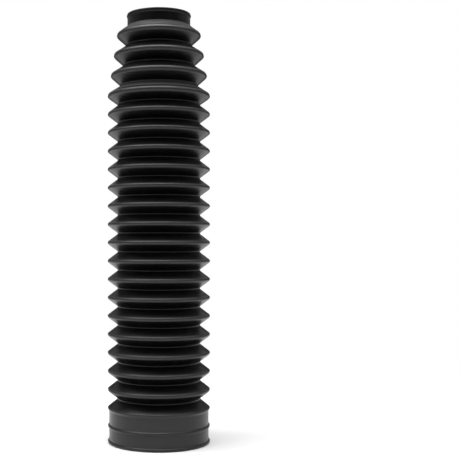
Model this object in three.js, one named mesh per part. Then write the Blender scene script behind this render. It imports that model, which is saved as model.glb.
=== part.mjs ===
import * as THREE from "three";

// A moulded rubber gaiter for a motorbike fork, in millimetres.
// It stands on its hem: the origin is the centre of the hem's lower face, and its axis is +Z.

// Collar, which grips the upper fork tube
const collarBore = 40;
const collarWall = 2.1;
const collarLand = 5.35;
const rimBeadHeight = 3;
const rimBeadProud = 0.47;
const rimCrownDrop = 1.1;

// Shoulder and stepped folds, which narrow the bellows down to the collar
const shoulderRise = 6.75;
const shoulderFillet = 0.3;
const topLipProud = 7.5;
const taperFolds = 3;
const taperPitch = 14.2;
const taperDepth = 7.6;
const taperLipRound = 2.05;

// Bellows of equal folds
const foldCount = 20;
const foldPitch = 12.92;
const foldDepth = 7;
const lipDiameter = 72;
const lipRound = 1.55;
const valleyFillet = 0.8;
const bellowsWall = 1.6;

// Sleeve, which slips over the lower fork leg; a clamp band sits between its two beads
const sleeveBore = 65;
const sleeveWall = 2.5;
const sleeveLand = 9.1;
const sleeveLipRise = 2;
const sleeveLipProud = 1;
const sleeveLipRound = 1.1;
const sleeveLipFillet = 0.4;
const bandWidth = 8.1;
const bandBeadHeight = 2.8;
const bandBeadProud = 0.95;
const hemBeadHeight = 2.4;
const hemBeadProud = 1.05;

// Fineness of the facets: sides round the axis, and steps along a bead's quarter or a round
const sides = 24;
const beadSteps = 2;
const largeRoundSteps = 2;
const smallRoundSteps = 1;
const largeRound = 1;

// Sizes that follow from the ones above
const collarRadius = collarBore / 2 + collarWall;
const sleeveRadius = sleeveBore / 2 + sleeveWall;
const lipRadius = lipDiameter / 2;
const taperStep = (lipRadius - collarRadius - topLipProud) / taperFolds;
const bandBeadFoot = hemBeadHeight + bandWidth;
const sleeveLipFoot = bandBeadFoot + bandBeadHeight + sleeveLand;

// A place on the outline, at a radius from the axis and a height above the hem
function at(radius, height) {
  return new THREE.Vector2(radius, height);
}

// Half-round bead on a wall, from its lower edge over its crown to its upper edge
function beadArc(wallRadius, foot, crown, top, proud) {
  const points = [];
  for (let step = -beadSteps; step <= beadSteps; step += 1) {
    const turn = ((step / beadSteps) * Math.PI) / 2;
    const reach = step < 0 ? crown - foot : top - crown;
    points.push(at(wallRadius + proud * Math.cos(turn), crown + reach * Math.sin(turn)));
  }
  return points;
}

// One bend of the folded wall: the centre of its round, and the round's radius.
// The radius is positive where the wall bulges outwards and negative where it turns in.
function bend(tipRadius, height, round) {
  return { centre: at(tipRadius - round, height), round };
}

// Bends of the wall from the sleeve up to the collar, with a valley under each fold's lip
function wallBends() {
  const bends = [
    bend(sleeveRadius, sleeveLipFoot, -sleeveLipFillet),
    bend(sleeveRadius + sleeveLipProud, sleeveLipFoot + sleeveLipRise, sleeveLipRound),
  ];
  let lip = sleeveRadius + sleeveLipProud;
  let height = sleeveLipFoot + sleeveLipRise;
  for (let fold = 1; fold <= foldCount; fold += 1) {
    const stepsIn = Math.max(0, fold - (foldCount - taperFolds));
    const nextLip = lipRadius - stepsIn * taperStep;
    const pitch = stepsIn > 0 ? taperPitch : foldPitch;
    const depth = stepsIn > 0 ? taperDepth : foldDepth;
    const round = fold < foldCount - taperFolds ? lipRound : taperLipRound;
    bends.push(bend((lip + nextLip) / 2 - depth, height + pitch / 2, -valleyFillet));
    bends.push(bend(nextLip, height + pitch, round));
    lip = nextLip;
    height += pitch;
  }
  bends.push(bend(collarRadius, height + shoulderRise, -shoulderFillet));
  return bends;
}

// Straight flank that touches two bends, as its outward normal and its distance along it
function flankBetween(lower, upper) {
  const run = upper.centre.clone().sub(lower.centre);
  const angle = run.angle() - Math.acos((lower.round - upper.round) / run.length());
  const normal = at(Math.cos(angle), Math.sin(angle));
  return { normal, distance: normal.dot(lower.centre) + lower.round };
}

// Upright wall at a radius, in the same form as a flank
function uprightWall(radius) {
  return { normal: at(1, 0), distance: radius };
}

// The same flank on the inside of the bellows wall
function innerFlank(flank) {
  return { normal: flank.normal, distance: flank.distance - bellowsWall };
}

function crossing(first, second) {
  const a = first.normal;
  const b = second.normal;
  const cross = a.cross(b);
  return at(
    (first.distance * b.y - second.distance * a.y) / cross,
    (second.distance * a.x - first.distance * b.x) / cross,
  );
}

// Arc of a round that touches two flanks, from the first to the second
function roundBetween(first, second, round) {
  const corner = crossing(first, second);
  if (round === 0) return [corner];
  const start = first.normal.angle();
  const turn = ((second.normal.angle() - start + 3 * Math.PI) % (2 * Math.PI)) - Math.PI;
  const radius = Math.abs(round) * Math.sign(turn);
  const middle = first.normal.clone().add(second.normal).normalize();
  const centre = corner.sub(middle.multiplyScalar(radius / Math.cos(turn / 2)));
  const steps = Math.abs(round) < largeRound ? smallRoundSteps : largeRoundSteps;
  const points = [];
  for (let step = 0; step <= steps; step += 1) {
    const angle = start + (turn * step) / steps;
    points.push(at(Math.cos(angle), Math.sin(angle)).multiplyScalar(radius).add(centre));
  }
  return points;
}

// Rounded outline along a run of flanks; round i lies between flank i and flank i + 1
function roundedOutline(flanks, rounds) {
  return rounds.flatMap((round, i) => roundBetween(flanks[i], flanks[i + 1], round));
}

// Section through the whole wall: up the outside from the hem, over the rim and down the inside
function gaiterSection() {
  const bends = wallBends();
  const flanks = bends.slice(1).map((upper, i) => flankBetween(bends[i], upper));
  const rounds = bends.map(({ round }) => round);
  const foldedOutside = roundedOutline(
    [uprightWall(sleeveRadius), ...flanks, uprightWall(collarRadius)],
    rounds,
  );

  // The bore runs straight past the sleeve lip's foot, so the first bend and flank stay outside
  const foldedInside = roundedOutline(
    [uprightWall(sleeveBore / 2), ...flanks.slice(1).map(innerFlank), uprightWall(collarBore / 2)],
    rounds.slice(1).map((round) => (round < 0 ? round - bellowsWall : Math.max(round - bellowsWall, 0))),
  );

  const rimBeadFoot = bends.at(-1).centre.y + collarLand;
  const rim = rimBeadFoot + rimBeadHeight;
  const bandBeadTop = bandBeadFoot + bandBeadHeight;
  const hem = at(sleeveBore / 2, 0);
  return [
    hem,
    ...beadArc(sleeveRadius, 0, hemBeadHeight / 2, hemBeadHeight, hemBeadProud),
    ...beadArc(sleeveRadius, bandBeadFoot, (bandBeadFoot + bandBeadTop) / 2, bandBeadTop, bandBeadProud),
    ...foldedOutside,
    ...beadArc(collarRadius, rimBeadFoot, rim - rimCrownDrop, rim, rimBeadProud),
    at(collarBore / 2, rim),
    ...foldedInside.reverse(),
    hem,
  ];
}

const rubber = new THREE.MeshStandardMaterial({ color: 0x1b1b1c, roughness: 0.55, metalness: 0 });

function forkGaiter() {
  const shell = new THREE.LatheGeometry(gaiterSection(), sides);
  shell.rotateX(Math.PI / 2);
  const mesh = new THREE.Mesh(shell, rubber);
  mesh.name = "fork_gaiter";
  return mesh;
}

const gaiter = new THREE.Group();
gaiter.add(forkGaiter());

export default gaiter;
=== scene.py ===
import math

import bpy
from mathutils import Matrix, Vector


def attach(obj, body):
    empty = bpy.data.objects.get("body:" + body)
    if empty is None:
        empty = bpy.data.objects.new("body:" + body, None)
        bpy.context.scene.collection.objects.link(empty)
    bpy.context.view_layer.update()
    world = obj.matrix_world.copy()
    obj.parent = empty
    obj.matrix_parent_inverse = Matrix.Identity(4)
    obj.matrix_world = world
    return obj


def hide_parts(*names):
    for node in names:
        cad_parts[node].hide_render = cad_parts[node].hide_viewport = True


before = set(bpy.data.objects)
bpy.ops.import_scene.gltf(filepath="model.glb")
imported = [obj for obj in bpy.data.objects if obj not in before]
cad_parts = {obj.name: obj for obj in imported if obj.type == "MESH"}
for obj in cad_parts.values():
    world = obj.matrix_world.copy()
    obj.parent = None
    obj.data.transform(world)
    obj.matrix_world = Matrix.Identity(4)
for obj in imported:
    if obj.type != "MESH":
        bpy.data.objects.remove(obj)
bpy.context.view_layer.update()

scene = bpy.context.scene
mm = 0.001
upright = Vector((0.0, 0.0, 1.0))


# The rubber shell

gaiter = {
    # sizes in millimetres, as in the part's source, with the finer rounds added
    "collarBore": 40.0, "collarWall": 2.1, "collarLand": 5.35,
    "rimBeadHeight": 3.0, "rimBeadProud": 0.47,
    "rimCrownDrop": 1.1, "rimCrownRound": 2.4, "rimEdgeRound": 0.25,
    "shoulderRise": 6.75, "shoulderFillet": 0.3, "topLipProud": 7.5,
    "taperFolds": 3, "taperPitch": 14.2, "taperDepth": 7.6, "taperLipRound": 2.05,
    "foldCount": 20, "foldPitch": 12.92, "foldDepth": 7.0, "lipDiameter": 72.0,
    "lipRound": 1.55, "valleyFillet": 0.8, "bellowsWall": 1.6, "innerLipFillet": 0.35,
    "sleeveBore": 65.0, "sleeveWall": 2.5, "sleeveLand": 9.1,
    "sleeveLipRise": 2.0, "sleeveLipProud": 1.0, "sleeveLipRound": 1.1, "sleeveLipFillet": 0.4,
    "bandWidth": 8.1, "bandBeadHeight": 2.8, "bandBeadProud": 0.95, "bandCrownRound": 1.5,
    "hemBeadHeight": 2.4, "hemBeadProud": 1.05, "beadFillet": 0.35, "boreEdgeRound": 0.4,
    "partingProud": 0.12, "partingWidth": 0.5,  # the thin line left where the mould's halves met

    "turns": 128,               # steps round the axis
    "partingSteps": 4,          # steps across each half of a parting line
    "partingClearance": 0.125,  # share of a step that the even ones keep from a parting line
    "outsideError": 0.01,       # how far an arc's chord may lie off the arc, in millimetres
    "insideError": 0.05,
    "sleevePaintedLight": 0.975,        # how much of the painted light the sleeve takes, where a fold's lip is 1 and a valley 0
}


def bend(tip, height, rounding):
    # a round of the wall: positive where it bulges outwards, negative where it turns in
    return {"radius": tip - rounding, "height": height, "round": rounding}


def beadFillet(crown, wallRadius, side):
    # the small round between a bead's crown and its wall, above (1) or below (-1) the crown
    fillet = gaiter["beadFillet"]
    across = wallRadius + fillet - crown["radius"]
    rise = math.sqrt((crown["round"] + fillet) ** 2 - across ** 2)
    return bend(wallRadius, crown["height"] + side * rise, -fillet)


def edgeRound(crown, top):
    # the small round between a bead's crown and the flat face that cuts it off at the top
    edge = gaiter["rimEdgeRound"]
    rise = top - edge - crown["height"]
    across = math.sqrt((crown["round"] - edge) ** 2 - rise ** 2)
    return {"radius": crown["radius"] + across, "height": top - edge, "round": edge}


def outsideBends():
    # every round of the outside from the hem up, and where the bellows' inside starts and ends
    g = gaiter
    sleeveRadius = g["sleeveBore"] / 2 + g["sleeveWall"]
    collarRadius = g["collarBore"] / 2 + g["collarWall"]
    lipRadius = g["lipDiameter"] / 2
    bandFoot = g["hemBeadHeight"] + g["bandWidth"]
    bandMiddle = bandFoot + g["bandBeadHeight"] / 2
    lipFoot = bandFoot + g["bandBeadHeight"] + g["sleeveLand"]
    hemCrown = bend(sleeveRadius + g["hemBeadProud"], g["hemBeadHeight"] / 2, g["hemBeadHeight"] / 2)
    bandCrown = bend(sleeveRadius + g["bandBeadProud"], bandMiddle, g["bandCrownRound"])
    height = lipFoot + g["sleeveLipRise"]
    lip = sleeveRadius + g["sleeveLipProud"]
    bends = [
        hemCrown, beadFillet(hemCrown, sleeveRadius, 1),
        beadFillet(bandCrown, sleeveRadius, -1), bandCrown, beadFillet(bandCrown, sleeveRadius, 1),
        bend(sleeveRadius, lipFoot, -g["sleeveLipFillet"]), bend(lip, height, g["sleeveLipRound"]),
    ]
    firstInside = len(bends) - 1

    plainFolds = g["foldCount"] - g["taperFolds"]
    taperStep = (lipRadius - collarRadius - g["topLipProud"]) / g["taperFolds"]
    for fold in range(1, g["foldCount"] + 1):
        stepsIn = max(0, fold - plainFolds)
        nextLip = lipRadius - stepsIn * taperStep
        pitch = g["taperPitch"] if stepsIn else g["foldPitch"]
        depth = g["taperDepth"] if stepsIn else g["foldDepth"]
        rounding = g["lipRound"] if fold < plainFolds else g["taperLipRound"]
        bends.append(bend((lip + nextLip) / 2 - depth, height + pitch / 2, -g["valleyFillet"]))
        bends.append(bend(nextLip, height + pitch, rounding))
        lip = nextLip
        height += pitch
    bends.append(bend(collarRadius, height + g["shoulderRise"], -g["shoulderFillet"]))
    lastInside = len(bends) - 1

    rim = height + g["shoulderRise"] + g["collarLand"] + g["rimBeadHeight"]
    rimCrown = bend(collarRadius + g["rimBeadProud"], rim - g["rimCrownDrop"], g["rimCrownRound"])
    bends += [beadFillet(rimCrown, collarRadius, -1), rimCrown, edgeRound(rimCrown, rim)]
    return bends, firstInside, lastInside, rim


def tangent(lower, upper):
    # the straight that touches two rounds: the angle of its outward normal, and how far out it is
    across = upper["radius"] - lower["radius"]
    rise = upper["height"] - lower["height"]
    lean = (lower["round"] - upper["round"]) / math.hypot(across, rise)
    angle = math.atan2(rise, across) - math.acos(max(-1.0, min(1.0, lean)))
    reach = lower["radius"] * math.cos(angle) + lower["height"] * math.sin(angle) + lower["round"]
    return angle, reach


def roundBetween(first, second, rounding, error):
    # points on the arc between two straights, each as radius, height and the normal's angle
    (start, startReach), (end, endReach) = first, second
    cross = math.sin(end - start)
    cornerRadius = (startReach * math.sin(end) - endReach * math.sin(start)) / cross
    cornerHeight = (endReach * math.cos(start) - startReach * math.cos(end)) / cross
    turn = math.remainder(end - start, 2 * math.pi)
    bow = math.copysign(rounding, turn)
    back = bow / math.cos(turn / 2)
    centreRadius = cornerRadius - back * math.cos(start + turn / 2)
    centreHeight = cornerHeight - back * math.sin(start + turn / 2)
    steps = math.ceil(abs(turn) / (2 * math.acos(1 - error / rounding)))
    arc = []
    for step in range(steps + 1):
        lean = start + turn * step / steps
        arc.append((centreRadius + bow * math.cos(lean), centreHeight + bow * math.sin(lean), lean))
    return arc


def shellSection():
    # the whole wall as a closed outline: up the outside, over the rim, down the inside, under the hem
    bends, firstInside, lastInside, rim = outsideBends()
    flanks = [tangent(lower, upper) for lower, upper in zip(bends, bends[1:])]
    hemFace = (-math.pi / 2, 0.0)
    rimFace = (math.pi / 2, rim)
    outside = [hemFace, *flanks, rimFace]
    points, paintedLightShare = [], []
    for i, rounded in enumerate(bends):
        arc = roundBetween(outside[i], outside[i + 1], abs(rounded["round"]), gaiter["outsideError"])
        # painted light: each fold's lip takes the full share and the sleeve nearly all of it, so these are
        # drawn paler where they catch the light; the valleys, shoulder and rim take none
        if i <= firstInside:
            share = gaiter["sleevePaintedLight"]
        elif i < lastInside and rounded["round"] > 0:
            share = 1.0
        else:
            share = 0.0
        points += arc
        paintedLightShare += [share] * len(arc)
    rimStart = len(points)

    # the bellows' inside is its outside moved in by the wall, between two straight bores
    wall = gaiter["bellowsWall"]
    inside = [rimFace, (math.pi, -gaiter["collarBore"] / 2)]
    for angle, reach in reversed(flanks[firstInside:lastInside]):
        inside.append((angle + math.pi, wall - reach))
    inside += [(math.pi, -gaiter["sleeveBore"] / 2), hemFace]
    rounds = [gaiter["boreEdgeRound"]]
    for rounded in reversed(bends[firstInside:lastInside + 1]):
        if rounded["round"] < 0:
            rounds.append(wall - rounded["round"])
        else:
            rounds.append(max(rounded["round"] - wall, gaiter["innerLipFillet"]))
    rounds.append(gaiter["boreEdgeRound"])
    for i, rounding in enumerate(rounds):
        points += roundBetween(inside[i], inside[i + 1], rounding, gaiter["insideError"])
    paintedLightShare += [0.0] * (len(points) - rimStart)
    return points, paintedLightShare, rimStart, rim


def turnAngles():
    # even steps round the axis, with finer ones over the two parting lines at the sides
    step = 2 * math.pi / gaiter["turns"]
    halfLine = gaiter["partingWidth"] / gaiter["lipDiameter"]
    fineSteps = gaiter["partingSteps"]
    angles = []
    for i in range(gaiter["turns"]):
        offLine = abs(math.remainder(step * i, math.pi)) - halfLine
        if offLine > step * gaiter["partingClearance"]:
            angles.append(step * i)
    for side in (0.0, math.pi):
        angles += [side + halfLine * i / fineSteps for i in range(-fineSteps, fineSteps + 1)]
    return sorted(angle % (2 * math.pi) for angle in angles), halfLine


def buildShell():
    section, paintedLightShare, rimStart, rim = shellSection()
    angles, halfLine = turnAngles()
    halfProud = gaiter["partingProud"] / 2
    vertices, normals, faces, inside = [], [], [], []
    for i, (radius, height, lean) in enumerate(section):
        for angle in angles:
            out = Vector((math.cos(angle), math.sin(angle), 0.0))
            along = Vector((-math.sin(angle), math.cos(angle), 0.0))
            raised = slope = 0.0
            offLine = math.remainder(angle, math.pi) / halfLine
            if abs(offLine) < 1 and i < rimStart:
                raised = halfProud * (1 + math.cos(math.pi * offLine))
                slope = -halfProud * math.sin(math.pi * offLine) * math.pi / halfLine / radius
            across = radius + raised * math.cos(lean)
            up = min(max(height + raised * math.sin(lean), 0.0), rim)  # flush with the hem and rim
            vertices.append((out * across + upright * up) * mm)
            normal = out * math.cos(lean) + upright * math.sin(lean) - along * slope
            normals.append(normal.normalized())

    count = len(angles)
    for i in range(len(section)):
        below = i * count
        above = (i + 1) % len(section) * count
        for j in range(count):
            k = (j + 1) % count
            faces.append((below + j, below + k, above + k, above + j))
            inside.append(1 if i >= rimStart else 0)
    mesh = bpy.data.meshes.new("gaiter_shell")
    mesh.from_pydata(vertices, [], faces)
    mesh.polygons.foreach_set("material_index", inside)
    mesh.shade_smooth()
    mesh.normals_split_custom_set_from_vertices(normals)
    # the share of painted light at each point, which the rubber turns into a paler tone
    paintedLitPart = mesh.attributes.new("paintedLightShare", "FLOAT", "POINT")
    paintedLitPart.data.foreach_set("value", [share for share in paintedLightShare for angle in angles])
    shell = bpy.data.objects.new("gaiter_shell", mesh)
    scene.collection.objects.link(shell)
    return shell


# Rubber

rubberLook = {
    "outside": {
        "dark": 0.0008, "pale": 0.0016,  # the tone's range over the broad blotches
        "roughness": 0.33, "spread": 0.03,  # the roughness, and how far the blotches change it
        "grain": 0.1, "seed": 0.0,
        "rings": 1.0, "paintedLightTone": 0.031,  # how much of the matt rings shows, and the painted light's paler tone on the lips and sleeve
    },
    "inside": {
        "dark": 0.012, "pale": 0.02,
        "roughness": 0.6, "spread": 0.08,
        "grain": 0.45, "seed": 7.0,
        "rings": 0.0, "paintedLightTone": 0.0,
    },
    "specular": 0.34,
    "paintedLightFrom": 0.9,  # how far up a flank, from its valley to its lip, the painted light starts
    "mattRingsPaintedLight": [  # height and half height in millimetres, how much paler as painted light, how much rougher
        (291.6, 1.6, 0.025, 0.08),  # on the shoulder
        (249.1, 1.9, 0.065, 0.1),   # on the upper flank of the fourth fold
    ],
    "ringFade": 0.3,                # a ring's soft edge, in millimetres
    "grainSize": 0.35, "grainDepth": 0.02, "blotchSize": 14.0,  # millimetres
    "grainDetail": 2.0, "blotchDetail": 3.0,
    "blotchRange": (0.3, 0.7),      # the noise's values that stand for the darkest and the palest
}


def buildRubberGroup():
    # moulded skin: a fine even grain, broad faint blotches in tone and gloss, painted light on the lips and
    # sleeve, and matt rings that also carry painted light
    group = bpy.data.node_groups.new("mouldedSkin", "ShaderNodeTree")
    for name in ("Dark", "Pale", "Roughness", "Spread", "Seed", "Rings", "Painted Light", "Painted Light Tone"):
        group.interface.new_socket(name=name, in_out="INPUT", socket_type="NodeSocketFloat")
    group.interface.new_socket(name="Tone", in_out="OUTPUT", socket_type="NodeSocketColor")
    group.interface.new_socket(name="Roughness", in_out="OUTPUT", socket_type="NodeSocketFloat")
    group.interface.new_socket(name="Grain", in_out="OUTPUT", socket_type="NodeSocketFloat")
    nodes, links = group.nodes, group.links
    given = nodes.new("NodeGroupInput")
    made = nodes.new("NodeGroupOutput")
    place = nodes.new("ShaderNodeTexCoord")

    def noise(name, size, detail):
        texture = nodes.new("ShaderNodeTexNoise")
        texture.name = name
        texture.noise_dimensions = "4D"
        texture.inputs["Scale"].default_value = 1.0 / (size * mm)
        texture.inputs["Detail"].default_value = detail
        links.new(place.outputs["Object"], texture.inputs["Vector"])
        links.new(given.outputs["Seed"], texture.inputs["W"])
        return texture.outputs["Fac"]

    def blotched(name, lowest, highest):
        spread = nodes.new("ShaderNodeMapRange")
        spread.name = name
        spread.inputs["From Min"].default_value = rubberLook["blotchRange"][0]
        spread.inputs["From Max"].default_value = rubberLook["blotchRange"][1]
        links.new(blotch, spread.inputs["Value"])
        links.new(lowest, spread.inputs["To Min"])
        links.new(highest, spread.inputs["To Max"])
        return spread.outputs["Result"]

    def maths(operation, *values):
        result = nodes.new("ShaderNodeMath")
        result.operation = operation
        for value, socket in zip(values, result.inputs):
            if isinstance(value, float):
                socket.default_value = value
            else:
                links.new(value, socket)
        return result.outputs[0]

    blotch = noise("blotch", rubberLook["blotchSize"], rubberLook["blotchDetail"])
    grain = noise("grain", rubberLook["grainSize"], rubberLook["grainDetail"])
    tone = blotched("tone", given.outputs["Dark"], given.outputs["Pale"])
    glossiest = maths("SUBTRACT", given.outputs["Roughness"], given.outputs["Spread"])
    dullest = maths("ADD", given.outputs["Roughness"], given.outputs["Spread"])
    roughness = blotched("gloss", glossiest, dullest)

    # painted light: a paler tone on the folds' lips and the sleeve, where they catch the light
    paintedLitPart = nodes.new("ShaderNodeMapRange")
    paintedLitPart.interpolation_type = "SMOOTHSTEP"
    paintedLitPart.inputs["From Min"].default_value = rubberLook["paintedLightFrom"]
    links.new(given.outputs["Painted Light"], paintedLitPart.inputs["Value"])
    tone = maths("ADD", tone, maths("MULTIPLY", paintedLitPart.outputs["Result"], given.outputs["Painted Light Tone"]))

    # matt rings round the shoulder and the fourth fold: rougher, and paler as painted light where these
    # flanks are lit
    split = nodes.new("ShaderNodeSeparateXYZ")
    links.new(place.outputs["Object"], split.inputs["Vector"])
    for height, reach, ringPaintedLight, rougher in rubberLook["mattRingsPaintedLight"]:
        ring = nodes.new("ShaderNodeMapRange")
        ring.inputs["From Min"].default_value = reach * mm
        ring.inputs["From Max"].default_value = (reach + rubberLook["ringFade"]) * mm
        ring.inputs["To Min"].default_value = 1.0
        ring.inputs["To Max"].default_value = 0.0
        away = maths("ABSOLUTE", maths("SUBTRACT", split.outputs["Z"], height * mm))
        links.new(away, ring.inputs["Value"])
        mask = maths("MULTIPLY", ring.outputs["Result"], given.outputs["Rings"])
        # painted light: a paler tone on the ring's flank
        tone = maths("ADD", tone, maths("MULTIPLY", mask, ringPaintedLight))
        roughness = maths("ADD", roughness, maths("MULTIPLY", mask, rougher))

    grey = nodes.new("ShaderNodeCombineColor")
    for channel in ("Red", "Green", "Blue"):
        links.new(tone, grey.inputs[channel])
    links.new(grey.outputs["Color"], made.inputs["Tone"])
    links.new(roughness, made.inputs["Roughness"])
    links.new(grain, made.inputs["Grain"])
    return group


def buildRubber(name, look, group):
    material = bpy.data.materials.new(name)
    material.use_nodes = True
    nodes, links = material.node_tree.nodes, material.node_tree.links
    surface = nodes["Principled BSDF"]
    surface.inputs["Specular IOR Level"].default_value = rubberLook["specular"]
    skin = nodes.new("ShaderNodeGroup")
    skin.node_tree = group
    skin.inputs["Dark"].default_value = look["dark"]
    skin.inputs["Pale"].default_value = look["pale"]
    skin.inputs["Roughness"].default_value = look["roughness"]
    skin.inputs["Spread"].default_value = look["spread"]
    skin.inputs["Seed"].default_value = look["seed"]
    skin.inputs["Rings"].default_value = look["rings"]
    skin.inputs["Painted Light Tone"].default_value = look["paintedLightTone"]
    # the share of painted light on the lips and sleeve
    paintedLightShare = nodes.new("ShaderNodeAttribute")
    paintedLightShare.attribute_name = "paintedLightShare"
    links.new(paintedLightShare.outputs["Fac"], skin.inputs["Painted Light"])
    bump = nodes.new("ShaderNodeBump")
    bump.inputs["Strength"].default_value = look["grain"]
    bump.inputs["Distance"].default_value = rubberLook["grainDepth"] * mm
    links.new(skin.outputs["Tone"], surface.inputs["Base Color"])
    links.new(skin.outputs["Roughness"], surface.inputs["Roughness"])
    links.new(skin.outputs["Grain"], bump.inputs["Height"])
    links.new(bump.outputs["Normal"], surface.inputs["Normal"])
    return material


# Studio, with sizes in metres

studio = {
    "floorSize": 6.0, "floorTone": 0.8, "floorRoughness": 0.9,
    "floorLift": 0.15,       # the glow that whitens the floor for the camera
    "shadowReach": 0.25,     # from here on the floor fades to plain white, away from the gaiter
    "fadeReach": 0.55,       # and here it is plain white
    "worldTone": 0.3,
    "aim": (0.0, 0.0, 0.15),
    "lamps": [  # name, place, width, depth, watts
        ("top", (-0.03, -0.09, 1.1), 0.72, 0.72, 9.5),
        ("corner", (-0.55, 0.0, 1.05), 0.28, 0.35, 1.8),
        ("left", (-0.8, -0.3, 0.97), 1.2, 0.3, 3.0),
        ("right", (0.8, -0.3, 0.97), 1.2, 0.3, 1.6),
    ],
    # screens stand round the scene in arcs, unseen by the camera: a dark one behind it,
    # and at the sides and back a dim low one with a pale one above it
    "screenReach": 1.3,
    "screenStep": 5.0,       # degrees along the arc
    "screens": [  # name, first and last turn from the camera's side in degrees, foot, top, tone
        ("front", -75.0, 75.0, 0.12, 1.1, 0.01),
        ("backFoot", 75.0, 285.0, 0.0, 0.45, 0.1),
        ("back", 75.0, 285.0, 0.45, 1.5, 0.55),
    ],
    "cameraTurn": -90.0,     # the camera's side, in degrees from the X axis
}


def whereSeen(nodes, links, plain, shown, output):
    # the camera, reflections and clear materials see one shader, and the other lights the scene
    path = nodes.new("ShaderNodeLightPath")
    seen = path.outputs["Is Camera Ray"]
    for ray in ("Is Glossy Ray", "Is Transmission Ray"):
        either = nodes.new("ShaderNodeMath")
        either.operation = "MAXIMUM"
        links.new(seen, either.inputs[0])
        links.new(path.outputs[ray], either.inputs[1])
        seen = either.outputs[0]
    mix = nodes.new("ShaderNodeMixShader")
    links.new(seen, mix.inputs["Fac"])
    links.new(plain.outputs[0], mix.inputs[1])
    links.new(shown.outputs[0], mix.inputs[2])
    links.new(mix.outputs["Shader"], output)


def buildWorld():
    world = bpy.data.worlds.new("studioWorld")
    scene.world = world
    world.use_nodes = True
    nodes, links = world.node_tree.nodes, world.node_tree.links
    plain = nodes["Background"]
    plain.inputs["Color"].default_value = (studio["worldTone"],) * 3 + (1.0,)
    white = nodes.new("ShaderNodeBackground")
    white.inputs["Color"].default_value = (1.0, 1.0, 1.0, 1.0)
    whereSeen(nodes, links, plain, white, nodes["World Output"].inputs["Surface"])


def buildFloor():
    half = studio["floorSize"] / 2
    corners = [(-half, -half, 0.0), (half, -half, 0.0), (half, half, 0.0), (-half, half, 0.0)]
    mesh = bpy.data.meshes.new("studioFloor")
    mesh.from_pydata(corners, [], [(0, 1, 2, 3)])
    floor = bpy.data.objects.new("studioFloor", mesh)
    scene.collection.objects.link(floor)
    material = bpy.data.materials.new("paleFloor")
    material.use_nodes = True
    nodes, links = material.node_tree.nodes, material.node_tree.links
    matt = nodes["Principled BSDF"]
    matt.inputs["Base Color"].default_value = (studio["floorTone"],) * 3 + (1.0,)
    matt.inputs["Roughness"].default_value = studio["floorRoughness"]

    # near the gaiter the camera sees a white floor with its shadow, and further off plain white
    white = nodes.new("ShaderNodeBsdfDiffuse")
    white.inputs["Color"].default_value = (1.0, 1.0, 1.0, 1.0)
    lift = nodes.new("ShaderNodeEmission")
    lift.inputs["Strength"].default_value = studio["floorLift"]
    near = nodes.new("ShaderNodeAddShader")
    links.new(white.outputs[0], near.inputs[0])
    links.new(lift.outputs[0], near.inputs[1])
    far = nodes.new("ShaderNodeEmission")
    place = nodes.new("ShaderNodeTexCoord")
    reach = nodes.new("ShaderNodeVectorMath")
    reach.operation = "LENGTH"
    links.new(place.outputs["Object"], reach.inputs[0])
    fade = nodes.new("ShaderNodeMapRange")
    fade.interpolation_type = "SMOOTHSTEP"
    fade.inputs["From Min"].default_value = studio["shadowReach"]
    fade.inputs["From Max"].default_value = studio["fadeReach"]
    links.new(reach.outputs["Value"], fade.inputs["Value"])
    shown = nodes.new("ShaderNodeMixShader")
    links.new(fade.outputs["Result"], shown.inputs["Fac"])
    links.new(near.outputs[0], shown.inputs[1])
    links.new(far.outputs[0], shown.inputs[2])
    whereSeen(nodes, links, matt, shown, nodes["Material Output"].inputs["Surface"])
    mesh.materials.append(material)


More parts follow.
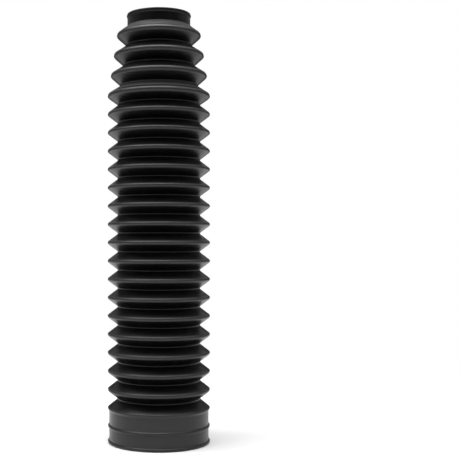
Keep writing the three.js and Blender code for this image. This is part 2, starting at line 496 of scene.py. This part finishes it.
def buildScreens():
    reach = studio["screenReach"]
    for name, first, last, foot, top, tone in studio["screens"]:
        steps = round((last - first) / studio["screenStep"])
        points, faces = [], []
        for i in range(steps + 1):
            angle = math.radians(studio["cameraTurn"] + first + (last - first) * i / steps)
            points += [(reach * math.cos(angle), reach * math.sin(angle), height) for height in (foot, top)]
            if i:
                faces.append((2 * i - 2, 2 * i, 2 * i + 1, 2 * i - 1))
        mesh = bpy.data.meshes.new(name + "Screen")
        mesh.from_pydata(points, [], faces)
        screen = bpy.data.objects.new(name + "Screen", mesh)
        scene.collection.objects.link(screen)
        material = bpy.data.materials.new(name + "ScreenCloth")
        material.use_nodes = True
        cloth = material.node_tree.nodes["Principled BSDF"]
        cloth.inputs["Base Color"].default_value = (tone, tone, tone, 1.0)
        cloth.inputs["Roughness"].default_value = 1.0
        cloth.inputs["Specular IOR Level"].default_value = 0.0
        mesh.materials.append(material)
        screen.visible_camera = False


def buildLamps():
    for name, place, width, depth, watts in studio["lamps"]:
        light = bpy.data.lights.new(name + "Lamp", "AREA")
        light.shape = "RECTANGLE"
        light.size = width
        light.size_y = depth
        light.energy = watts
        lamp = bpy.data.objects.new(name + "Lamp", light)
        lamp.location = place
        lamp.rotation_euler = (Vector(studio["aim"]) - lamp.location).to_track_quat("-Z", "Y").to_euler()
        scene.collection.objects.link(lamp)


# Camera

view = {  # all in the photograph's pixels but for the last three
    "picture": 460,           # its width and height
    "distance": 929.0,        # from the camera to the gaiter's axis
    "axisColumn": 158.87,     # where the axis stands
    "horizonRow": 243.3,      # the height of the camera's eye
    "hemRow": 441.56,         # the height of the hem, at the axis
    "pixelSize": 0.7073,      # millimetres to a pixel, at the axis
    "sensor": 36.0,           # millimetres
    "nearClip": 0.01,         # metres
}


def buildCamera():
    data = bpy.data.cameras.new("studioCamera")
    data.sensor_width = view["sensor"]
    data.lens = view["sensor"] * view["distance"] / view["picture"]
    data.shift_x = 0.5 - view["axisColumn"] / view["picture"]
    data.shift_y = view["horizonRow"] / view["picture"] - 0.5
    data.clip_start = view["nearClip"]
    camera = bpy.data.objects.new("studioCamera", data)
    eyeHeight = (view["hemRow"] - view["horizonRow"]) * view["pixelSize"] * mm
    camera.location = (0.0, -view["distance"] * view["pixelSize"] * mm, eyeHeight)
    camera.rotation_euler = (math.pi / 2, 0.0, 0.0)
    scene.collection.objects.link(camera)
    scene.camera = camera


scene.view_settings.view_transform = "Standard"
buildCamera()
print("camera set")

shell = buildShell()
mouldedSkin = buildRubberGroup()
for name in ("outside", "inside"):
    shell.data.materials.append(buildRubber(name + "Rubber", rubberLook[name], mouldedSkin))
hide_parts("fork_gaiter")
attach(shell, "root")
print("shell made with", len(shell.data.polygons), "faces")

buildWorld()
buildFloor()
buildScreens()
buildLamps()
print("studio lit")
